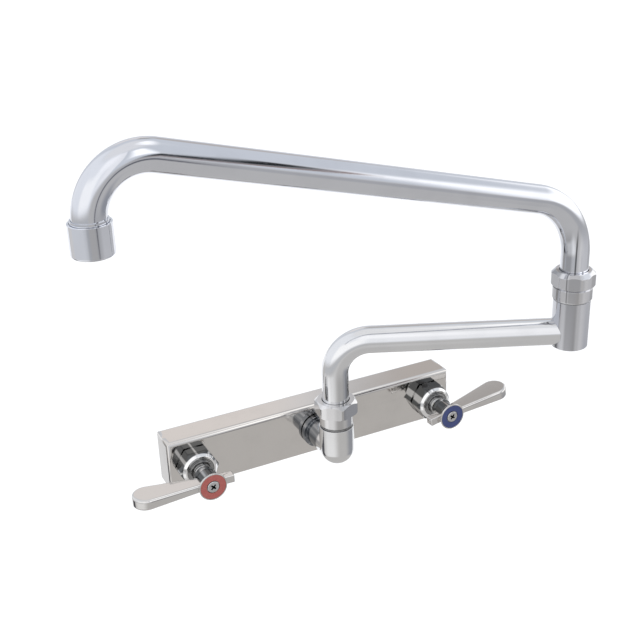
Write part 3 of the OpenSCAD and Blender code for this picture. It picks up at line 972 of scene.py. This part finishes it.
@dataclass
class BentTube:
    """A tube that follows a path of straight runs and round bends in one upright plane."""

    name: str
    outer_r: float = 10.0
    wall: float = 1.0
    sides: int = 128
    heading: Vector = field(default_factory=lambda: Vector((0, 0, 1)))
    points: list[Vector] = field(default_factory=lambda: [Vector((0, 0, 0))])

    def run(self, length: float) -> "BentTube":
        """Goes straight on.

        Args:
            length: How far.

        Returns:
            The tube.
        """
        self.points.append(self.points[-1] + self.heading * length)
        return self

    def bend(self, radius: float, degrees: float) -> "BentTube":
        """Bends from the heading towards X, and from X downwards.

        Args:
            radius: The bend's radius on the tube's middle.
            degrees: How far it turns.

        Returns:
            The tube.
        """
        side = Vector((self.heading.z, 0, -self.heading.x))
        middle = self.points[-1] + side * radius
        arm, count = -side * radius, max(8, int(degrees / 1.5))
        for i in range(1, count + 1):
            self.points.append(middle + Matrix.Rotation(math.radians(degrees * i / count), 3, "Y") @ arm)
        self.heading = Matrix.Rotation(math.radians(degrees), 3, "Y") @ self.heading
        return self

    def swept(self, place: Matrix, finish: Finish, body: str, nodes: Sequence[str]) -> None:
        """Sweeps the tube along its path and dresses it.

        Args:
            place: Where the path starts.
            finish: The tube's finish.
            body: The body that it moves with.
            nodes: The solids that it stands for.
        """
        path = bpy.data.meshes.new(self.name)
        spots = [tuple(place @ point * MM) for point in self.points]
        path.from_pydata(spots, [(i, i + 1) for i in range(len(spots) - 1)], [])
        piece = linked(self.name, path)
        growth = piece.modifiers.new("growth", "NODES")
        growth.node_group = sweep_tree(self.name + " sweep", finish, self.sides)
        for item in growth.node_group.interface.items_tree:
            if item.name == "Outer radius":
                growth[item.identifier] = self.outer_r * MM
        bake_modifiers(piece)
        piece.data.name = self.name
        shell = bmesh.new()
        shell.from_mesh(piece.data)
        bmesh.ops.recalc_face_normals(shell, faces=shell.faces)
        middle = (place @ self.points[0] + place @ self.points[1]) * (MM / 2)
        first = min(shell.faces, key=lambda face: (face.calc_center_median() - middle).length)
        if first.normal.dot(first.calc_center_median() - middle) < 0:
            bmesh.ops.reverse_faces(shell, faces=shell.faces)
        shell.to_mesh(piece.data)
        shell.free()
        wall = piece.modifiers.new("wall", "SOLIDIFY")
        wall.thickness = self.wall * MM
        wall.offset = -1.0
        bake_modifiers(piece)
        piece.data.shade_smooth()
        piece.data.set_sharp_from_angle(angle=math.radians(SMOOTH_BELOW))
        dressed(piece, body, nodes)


# The faucet


@dataclass
class ValveBody:
    """The long casting on the wall."""

    def build(self) -> None:
        """Builds and dresses the casting."""
        Workpiece("body_casting", "valve_body", "body", BODY_CHROME).copied().finished()


@dataclass
class OutletElbow:
    """The elbow under the spout, with its gasket."""

    def build(self) -> None:
        """Builds and dresses the elbow."""
        casting = Workpiece("outlet_elbow_casting", "outlet_elbow", "body", ELBOW_CHROME)
        casting.copied().finished(Edge.BROKEN)
        keep("elbow_gasket", RUBBER)


@dataclass
class SwivelNut:
    """A swivel's nut: a round skirt under a hexagon."""

    name: str
    node: str
    body: str
    base: float
    skirt_l: float
    hex_l: float
    skirt_r: float
    flats: float
    corner_r: float
    thread_r: float
    turn: float
    finish: Finish
    lip_l: float = 4.0
    lip_r: float = 10.35
    chamfer: float = 0.7
    crown: float = 0.5
    step: float = 0.6

    def column(self, reach: float) -> list[Point]:
        """The section where the hexagon reaches a given radius.

        Args:
            reach: The hexagon's radius there.

        Returns:
            The closed section.
        """
        low, top = self.base + self.skirt_l, self.base + self.skirt_l + self.hex_l
        crown_r = self.flats / 2 - self.chamfer
        foot_r = self.corner_r - self.chamfer
        foot = max(reach - foot_r, 0.02)
        return softened([
            (self.thread_r, self.base, 0.2), (self.skirt_r - self.step, self.base, 0.1),
            (self.skirt_r - self.step, self.base + 0.5, 0.05), (self.skirt_r, self.base + 0.6, 0.2),
            (self.skirt_r, low - 0.1, 0.25), (min(foot_r, reach - 0.02), low, 0.1),
            (reach, low + foot, 0.25), (reach, top - (reach - crown_r), 0.35),
            (crown_r, top, self.crown), (self.lip_r, top, 0.35),
            (self.lip_r, top - self.lip_l, 0.1), (self.thread_r, top - self.lip_l, 0.1),
        ])

    def build(self, place: Matrix) -> None:
        """Builds and dresses the nut.

        Args:
            place: The swivel's place.
        """
        here = placed(place, turned_about("Z", self.turn))
        nut = Workpiece(self.name, self.node, self.body, self.finish)
        nut.hexed(self.flats, self.corner_r, self.column, here).finished()


def hexagon_columns(flats: float, corner_r: float) -> list[tuple[float, float]]:
    """The directions and radii round a hexagon with trimmed and slightly rounded corners.

    Args:
        flats: Width across the flats.
        corner_r: The radius that trims the corners.

    Returns:
        Pairs of direction, in degrees, and radius.
    """
    half = min(math.degrees(math.acos(min(1.0, flats / 2 / corner_r))), 29.0)
    inside = [-half + 2 * half * i / 12 for i in range(13)]
    corner = [half + (60 - 2 * half) * i / 6 for i in range(1, 6)]
    out = []
    for side in range(6):
        for angle in inside:
            out.append((60 * side + angle + 30, flats / 2 / cos_sin(angle)[0]))
        edge = flats / 2 / cos_sin(half)[0]
        for angle in corner:
            bulge = math.sin(math.pi * (angle - half) / (60 - 2 * half))
            out.append((60 * side + angle + 30, edge + (corner_r - edge) * 0.6 * bulge))
    return out


@dataclass
class Bonnet:
    """A valve's hexagonal bonnet with its washer and gland nut."""

    flats: float = 27.0
    corner_r: float = 15.3
    back: float = 1.0
    front: float = 13.0
    chamfer: float = 1.8
    nose_r: float = 11.2
    bore_r: float = 8.2
    gland_r: float = 10.4
    gland_depth: float = 4.0
    gland_bore_r: float = 7.3
    neck_r: float = 8.8
    neck_front: float = 14.6
    gap: float = 0.1
    washer_bore_r: float = 11.3
    washer_r: float = 13.5
    shank_l: float = 3.0

    def column(self, reach: float) -> list[Point]:
        """The section where the hexagon reaches a given radius.

        Args:
            reach: The hexagon's radius there.

        Returns:
            The closed section.
        """
        crown_r = self.flats / 2 - self.chamfer
        seat = self.front - self.gland_depth
        return softened([
            (self.bore_r, -self.shank_l, 0.2), (self.nose_r, -self.shank_l, 0.3),
            (self.nose_r, self.back, 0.1),
            (reach, self.back, 0.3), (reach, self.front - (reach - crown_r), 0.5),
            (crown_r, self.front, 0.7), (self.gland_r, self.front, 0.3),
            (self.gland_r, seat, 0.1), (self.bore_r, seat, 0.1),
        ])

    def build(self, side: Side, place: Matrix) -> None:
        """Builds and dresses the bonnet's pieces.

        Args:
            side: Hot or cold.
            place: The valve's place.
        """
        word = side.word
        nut = Workpiece(f"{word}_bonnet_nut", f"{word}_bonnet", "body", BONNET_CHROME)
        nut.hexed(self.flats, self.corner_r, self.column, place).finished()
        inner, outer = self.washer_bore_r, self.washer_r
        ring = softened([
            (inner, 0, 0.1), (outer, 0, 0.3), (outer, self.back, 0.3), (inner, self.back, 0.1)
        ])
        washer = Workpiece(f"{word}_bonnet_ring", f"{word}_bonnet_washer", "body", BONNET_CHROME)
        washer.turned(ring, place).finished()
        seat, face = self.front - self.gland_depth, self.front - self.gap
        bore, flange, neck, tip = self.gland_bore_r, self.gland_r - self.gap, self.neck_r, self.neck_front
        gland = softened([
            (bore, seat, 0.1), (flange, seat, 0.1), (flange, face, 0.25), (neck, face, 0.2),
            (neck, tip, 0.35), (bore, tip, 0.25),
        ])
        collar = Workpiece(f"{word}_gland_ring", f"{word}_gland_nut", "body", GLAND_CHROME)
        collar.turned(gland, place).finished()
        sleeve = Workpiece(f"{word}_sleeve_tube", f"{word}_cartridge_sleeve", "body", VALVE_CHROME)
        sleeve.copied().finished(Edge.CRISP)
        keep(f"{word}_seat_seal", RUBBER)
        keep(f"{word}_fixed_disc", CERAMIC)


@dataclass
class Handle:
    """A lever handle with its index ring and screw, and the stem inside."""

    front: float = 37.8
    back: float = 20.8
    rim_r: float = 10.6
    lever_l: float = 57.0
    tip_w: float = 21.0
    root_w: float = 11.0
    tip_t: float = 8.8
    root_t: float = 5.8
    lean: float = 3.5
    lever_s: float = 30.3
    lever_edge: float = 2.0
    cold_rise: float = 7.5
    tail_l: float = 18.0
    tail_w: float = 7.0
    tail_t: float = 6.2
    tail_edge: float = 0.8
    index_r: float = 9.7

    def hub_section(self) -> list[Point]:
        """The hub's closed section, with its screw seat and index recess."""
        f, b, rim = self.front, self.back, self.rim_r
        return softened([
            (4.05, b, 0.1), (8.2, b, 0.35), (8.2, b + 1.7, 0.35), (7.2, b + 2.3, 0.6),
            (7.2, f - 6.0, 3.0), (rim - 0.5, f - 1.9, 0.6), (rim, f - 1.3, 0.4), (rim, f, 0.45),
            (9.8, f, 0.2), (9.8, f - 1.35, 0.05), (4.6, f - 1.35, 0.05), (4.6, f - 2.7, 0.05),
            (2.35, f - 2.7, 0.05), (2.35, 31.0, 0.05), (4.05, 31.0, 0.05),
        ], 5)

    def paddle_outline(self) -> list[Triple]:
        """The lever's outline with its half thickness, which grows towards the tip."""
        tip_x = self.lever_l - self.tip_w / 2
        flat = [(2.0, self.root_w / 2)]
        start = math.degrees(math.asin((self.tip_w - self.root_w) / 2 / tip_x))
        angles = [90 + start - (180 + 2 * start) * i / 28 for i in range(29)]
        r = self.tip_w / 2
        flat += [(tip_x + r * c, r * s) for c, s in map(cos_sin, angles)]
        flat.append((2.0, -self.root_w / 2))
        flat.reverse()
        grow = (self.tip_t - self.root_t) / self.lever_l
        return [(x, y, (self.root_t + grow * x) / 2) for x, y in flat]

    def build(self, side: Side, place: Matrix) -> None:
        """Builds and dresses the handle's pieces.

        Args:
            side: Hot or cold.
            place: The valve's place.
        """
        word, body = side.word, f"{side.word}_handle"
        here = placed(place, turned_about("Z", 180 if side is Side.HOT else self.cold_rise))
        arm = placed(here, at(z=self.lever_s), turned_about("Y", self.lean), turned_about("X", 90))
        lever = Workpiece(f"{word}_lever_casting", f"{word}_lever", body, LEVER_CHROME)
        lever.turned(self.hub_section(), here)
        lever.slab(self.paddle_outline(), arm, self.lever_edge)
        t, w, r = self.tail_t / 2, self.tail_w / 2, self.tail_edge
        tail = softened([(-self.tail_l, w, r), (-self.tail_l, -w, r), (-3.0, -w, 0.1), (-3.0, w, 0.1)])
        lever.slab([(x, y, t) for x, y in tail], arm, self.tail_edge, 1.0)
        lever.finished()
        f = self.front - 0.15
        ring = softened([
            (4.92, f - 1.2, 0.1), (self.index_r, f - 1.2, 0.1), (self.index_r, f, 0.2), (4.92, f, 0.2)
        ])
        finish = HOT_RED if side is Side.HOT else COLD_BLUE
        disc = Workpiece(f"{word}_index_disc", f"{word}_index_ring", body, finish)
        disc.turned(ring, here).finished()
        for name, node, metal in (("screw", "lever_screw", SCREW_STEEL), ("clip_ring", "stem_clip", STEEL)):
            Workpiece(f"{word}_{name}", f"{word}_{node}", body, metal).copied().finished(Edge.CRISP)
        keep(f"{word}_stem", BRASS)
        keep(f"{word}_stem_o_ring", RUBBER)
        keep(f"{word}_turning_disc", CERAMIC)


@dataclass
class Spout:
    """Both arms with their swivels and the aerator."""

    swivel_y: float = -59.5
    reach_1: float = 171.0
    height_1: float = 90.0
    bend_1: float = 26.0
    turn_1: float = 25.0
    base_1: float = 34.06
    reach_2: float = 337.0
    height_2: float = 186.0
    slope_2: float = 15.0
    bend_2: float = 48.0
    outlet_bend: float = 32.0
    turn_2: float = 180.0
    base_2: float = 128.56

    def lower(self) -> Matrix:
        """The lower swivel's place, turned with the first arm."""
        return placed(at(y=self.swivel_y), turned_about("Z", -self.turn_1))

    def upper(self) -> Matrix:
        """The upper swivel's place, turned with the first arm."""
        return placed(self.lower(), at(x=self.reach_1))

    def second(self) -> Matrix:
        """The upper swivel's place, turned with the second arm."""
        return placed(self.upper(), turned_about("Z", self.turn_1 + self.turn_2))

    def build(self) -> None:
        """Builds and dresses every piece of the spout."""
        self.build_first_arm()
        self.build_second_arm()
        self.build_aerator()

    def build_first_arm(self) -> None:
        """Builds the lower swivel, the first tube and the socket."""
        SwivelNut(
            "lower_nut", "lower_swivel_nut", "body", 22.4, 9.4, 11.0, 12.5, 29.0, 16.3, 11.3, -14.0,
            LOWER_NUT_CHROME,
        ).build(self.lower())
        ring = softened([
            (11.3, 21.02, 0.05), (11.8, 21.02, 0.05), (11.8, 21.35, 0.05), (12.4, 21.45, 0.15),
            (12.4, 22.1, 0.15), (11.8, 22.2, 0.05), (11.8, 22.38, 0.05), (11.3, 22.38, 0.05),
        ])
        washer = Workpiece("lower_ring", "lower_nut_washer", "body", GLAND_CHROME)
        washer.turned(ring, self.lower()).finished()
        keep("lower_slip_ring", WASHER)
        keep("lower_spigot", BRASS)
        keep("lower_o_rings", RUBBER)
        rise = self.height_1 - self.base_1 - self.bend_1
        tube = BentTube("first_arm_tube").run(rise).bend(self.bend_1, 90)
        tube.run(self.reach_1 - self.bend_1 - 9.06)
        tube.swept(placed(self.lower(), at(z=self.base_1)), FIRST_CHROME, "first_arm", ["first_arm"])
        socket = Workpiece("socket_barrel", "swivel_socket", "first_arm", SOCKET_CHROME)
        socket.copied().finished(Edge.CRISP)
        ring = softened([
            (12.2, 115.52, 0.1), (12.95, 115.52, 0.2), (12.95, 116.48, 0.2), (12.2, 116.48, 0.1)
        ])
        washer = Workpiece("upper_ring", "upper_nut_washer", "first_arm", STEEL)
        washer.turned(ring, self.upper()).finished()
        SwivelNut(
            "upper_nut", "upper_swivel_nut", "first_arm", 116.5, 8.9, 12.8, 14.2, 29.5, 15.6, 12.2, -12.0,
            UPPER_NUT_CHROME, chamfer=2.0, crown=1.6,
        ).build(self.upper())
        keep("upper_slip_ring", WASHER)

    def build_second_arm(self) -> None:
        """Builds the second tube and its spigot."""
        keep("upper_spigot", BRASS)
        keep("upper_o_rings", RUBBER)
        up, down = 90 - self.slope_2, 90 + self.slope_2
        first = self.bend_2 * math.tan(math.radians(up / 2))
        last = self.outlet_bend * math.tan(math.radians(down / 2))
        rise = self.height_2 - self.base_2 - first
        length = self.reach_2 / cos_sin(self.slope_2)[0] - first - last
        tube = BentTube("second_arm_tube").run(rise).bend(self.bend_2, up).run(length)
        tube.bend(self.outlet_bend, down).run(7.4)
        tube.swept(placed(self.second(), at(z=self.base_2)), SECOND_CHROME, "second_arm", ["second_arm"])

    def build_aerator(self) -> None:
        """Builds the outlet's pieces."""
        for name, node, finish in (
            ("outlet_adapter_ring", "outlet_adapter", SPOUT_CHROME),
            ("aerator_cup", "aerator_shell", OUTLET_CHROME),
        ):
            Workpiece(name, node, "second_arm", finish).copied().finished(Edge.CRISP)
        keep("aerator_washer", RUBBER)
        keep("aerator_screen", STEEL)
        keep("aerator_core", PLASTIC)


# The studio


@dataclass(frozen=True)
class Card:
    """A soft-edged card in the studio, placed by direction in degrees."""

    turn: float
    half_turn: float
    lift: float
    half_lift: float
    blur: float
    colour: Triple
    turn_blur: float = 0.0

    def mask(self, turn: Term, lift: Term) -> Term:
        """Where the card shows.

        Args:
            turn: The direction's azimuth, 0 into the wall and 90 to the right.
            lift: Its elevation.

        Returns:
            1 on the card and 0 beside it.
        """
        across = turn.band(self.turn, self.half_turn, self.turn_blur or self.blur)
        return across * lift.band(self.lift, self.half_lift, self.blur)


CARDS = (
    Card(0.0, 190.0, 76.0, 16.0, 8.0, (0.95, 0.95, 0.96)),
    Card(98.0, 40.0, 12.0, 18.0, 7.0, (1.45, 1.45, 1.45)),
    Card(-92.0, 72.0, 27.0, 34.0, 9.0, (1.0, 1.02, 1.06)),
    Card(-124.0, 30.0, 14.0, 18.0, 8.0, (1.22, 1.22, 1.22)),
    Card(-172.0, 12.0, 30.0, 29.0, 6.0, (1.08, 1.08, 1.10), 9.0),
    Card(90.0, 34.0, 69.0, 8.0, 8.0, (1.45, 1.45, 1.45)),
    Card(-150.0, 18.0, 44.0, 14.0, 10.0, (1.22, 1.22, 1.24)),
    Card(163.0, 9.0, 34.0, 18.0, 6.0, (1.55, 1.55, 1.55)),
    Card(12.0, 13.0, 30.0, 9.0, 4.0, (0.93, 0.89, 0.875)),
    Card(37.0, 9.0, 29.0, 10.0, 4.0, (0.60, 0.565, 0.55)),
    Card(27.0, 7.0, 42.0, 6.5, 2.5, (0.52, 0.50, 0.49)),
    Card(110.0, 60.0, -14.0, 8.0, 5.0, (0.50, 0.50, 0.51)),
    Card(-110.0, 48.0, -17.0, 5.0, 4.0, (0.58, 0.59, 0.61)),
    Card(-110.0, 40.0, -37.0, 11.0, 5.0, (0.98, 0.98, 0.98), 25.0),
    Card(95.0, 35.0, -34.0, 10.0, 6.0, (0.36, 0.37, 0.40), 22.0),
    Card(-45.0, 14.0, -37.0, 10.0, 3.0, (0.10, 0.10, 0.11)),
    Card(163.0, 2.5, -16.0, 4.0, 1.5, (0.15, 0.15, 0.17)),
)


@dataclass
class Studio:
    """Floor, light and camera."""

    floor_z: float = -1.0
    glow: float = 0.27
    backdrop: Triple = (0.97, 0.97, 0.97)

    def build(self) -> None:
        """Builds the studio."""
        self.build_floor()
        self.build_world()
        self.build_lights()
        self.build_camera()
        view = bpy.context.scene.view_settings
        view.view_transform = "Standard"
        view.look = "None"

    def build_floor(self) -> None:
        """Builds the pale floor, which widens away from the camera."""
        data = bpy.data.meshes.new("floor")
        z = self.floor_z
        data.from_pydata([(-0.8, 1.15, z), (1.5, 0.1, z), (17, 14, z), (-9, 14, z)], [], [(0, 1, 2, 3)])
        floor = linked("floor", data)
        paint = bpy.data.materials.new("pale floor paint")
        paint.use_nodes = True
        book = ShaderBook(paint.node_tree)
        cloud = book.noise(book.object_point(), 1.2, 2.0)
        colour = book.mix(cloud.step(0.3, 0.8), (0.82, 0.82, 0.82), (0.80, 0.80, 0.80))
        shader = book.node(
            "ShaderNodeBsdfPrincipled", {},
            {
                "Base Color": colour, "Roughness": 1.0, "Specular IOR Level": 0.0,
                "Emission Color": (1.0, 1.0, 1.0, 1.0), "Emission Strength": self.glow,
            },
        )
        book.node("ShaderNodeOutputMaterial", {}, {"Surface": shader.outputs[0]})
        data.materials.append(paint)

    def build_world(self) -> None:
        """Builds the studio's soft walls and boxes by direction, in degrees."""
        world = bpy.data.worlds.new("studio")
        bpy.context.scene.world = world
        world.use_nodes = True
        book = ShaderBook(world.node_tree)
        place = book.add("ShaderNodeTexCoord", {}, {}, "Generated")
        parts = book.node("ShaderNodeSeparateXYZ", {}, {0: place})
        x, y, z = (Term(book, parts.outputs[i]) for i in range(3))
        turn = x.math("ARCTAN2", y) * TO_DEGREES
        lift = z.math("ARCSINE") * TO_DEGREES
        glow = book.mix(lift.step(-9.0, 6.0), (0.60, 0.59, 0.58), (0.76, 0.79, 0.84))
        for card in CARDS:
            glow = book.mix(card.mask(turn, lift), glow, card.colour)
        streak = lift + (turn - 143.0) * 0.98 - 19.3
        span = lift.band(12.0, 22.0, 4.0) * turn.band(149.0, 16.0, 5.0)
        glow = book.mix(span * streak.band(-2.0, 1.6, 1.2), glow, (0.34, 0.25, 0.23))
        glow = book.mix(span * streak.band(3.6, 3.8, 2.4), glow, (0.02, 0.022, 0.024))
        seen = book.add("ShaderNodeLightPath", {}, {}, "Is Camera Ray")
        glow = book.mix(seen, glow, self.backdrop)
        lamp = book.node("ShaderNodeBackground", {}, {"Color": glow, "Strength": 1.0})
        book.node("ShaderNodeOutputWorld", {}, {"Surface": lamp.outputs[0]})

    def build_lights(self) -> None:
        """Builds the soft boxes."""
        boxes = (
            ("key box", (-0.7, -1.3, 1.5), 1.1, 7.0),
            ("fill box", (1.2, -0.8, 1.0), 0.7, 1.5),
        )
        for name, spot, size, power in boxes:
            data = bpy.data.lights.new(name, "AREA")
            data.size = size
            data.energy = power
            lamp = linked(name, data)
            lamp.location = spot
            lamp.visible_glossy = False
            aim = Vector((0, 0, 0.05)) - Vector(spot)
            lamp.rotation_euler = aim.to_track_quat("-Z", "Y").to_euler()

    def build_camera(self) -> None:
        """Places the camera at the photograph's view."""
        yaw, pitch, roll = math.radians(25.97), math.radians(24.15), math.radians(-2.05)
        focal, distance, shift_x, shift_y, half = 1050.0, 0.843683, 302.753, 414.731, 320.0
        ahead = Vector((math.sin(yaw) * math.cos(pitch), math.cos(yaw) * math.cos(pitch), -math.sin(pitch)))
        right = Vector((math.cos(yaw), -math.sin(yaw), 0))
        up = right.cross(ahead)
        across = math.cos(roll) * right + math.sin(roll) * up
        over = -math.sin(roll) * right + math.cos(roll) * up
        spot = -(
            across * (shift_x - half) * distance / focal
            - over * (shift_y - half) * distance / focal
            + ahead * distance
        )
        data = bpy.data.cameras.new("photo view")
        data.sensor_width = 36.0
        data.lens = focal / (2 * half) * data.sensor_width
        data.clip_start = 0.01
        camera = linked("photo view", data)
        camera.matrix_world = Matrix((
            (across.x, over.x, -ahead.x, spot.x),
            (across.y, over.y, -ahead.y, spot.y),
            (across.z, over.z, -ahead.z, spot.z),
            (0, 0, 0, 1),
        ))
        bpy.context.scene.camera = camera


@dataclass
class WallFaucet:
    """The whole faucet."""

    valve_spacing: float = 203.2
    body_d: float = 25.0

    def valve_place(self, side: Side) -> Matrix:
        """The valve's place, with its axis out of the body's front.

        Args:
            side: Hot or cold.

        Returns:
            The place.
        """
        x = side.value * self.valve_spacing / 2
        return placed(at(x, -self.body_d, 0), turned_about("X", 90))

    def build(self) -> None:
        """Builds every sub-assembly in order."""
        ValveBody().build()
        OutletElbow().build()
        for side in Side:
            Bonnet().build(side, self.valve_place(side))
            Handle().build(side, self.valve_place(side))
        Spout().build()


def main() -> None:
    """Builds the faucet and its studio."""
    logging.basicConfig(level=logging.INFO, format="%(name)s: %(message)s")
    WallFaucet().build()
    Studio().build()


if __name__ == "__main__":
    main()
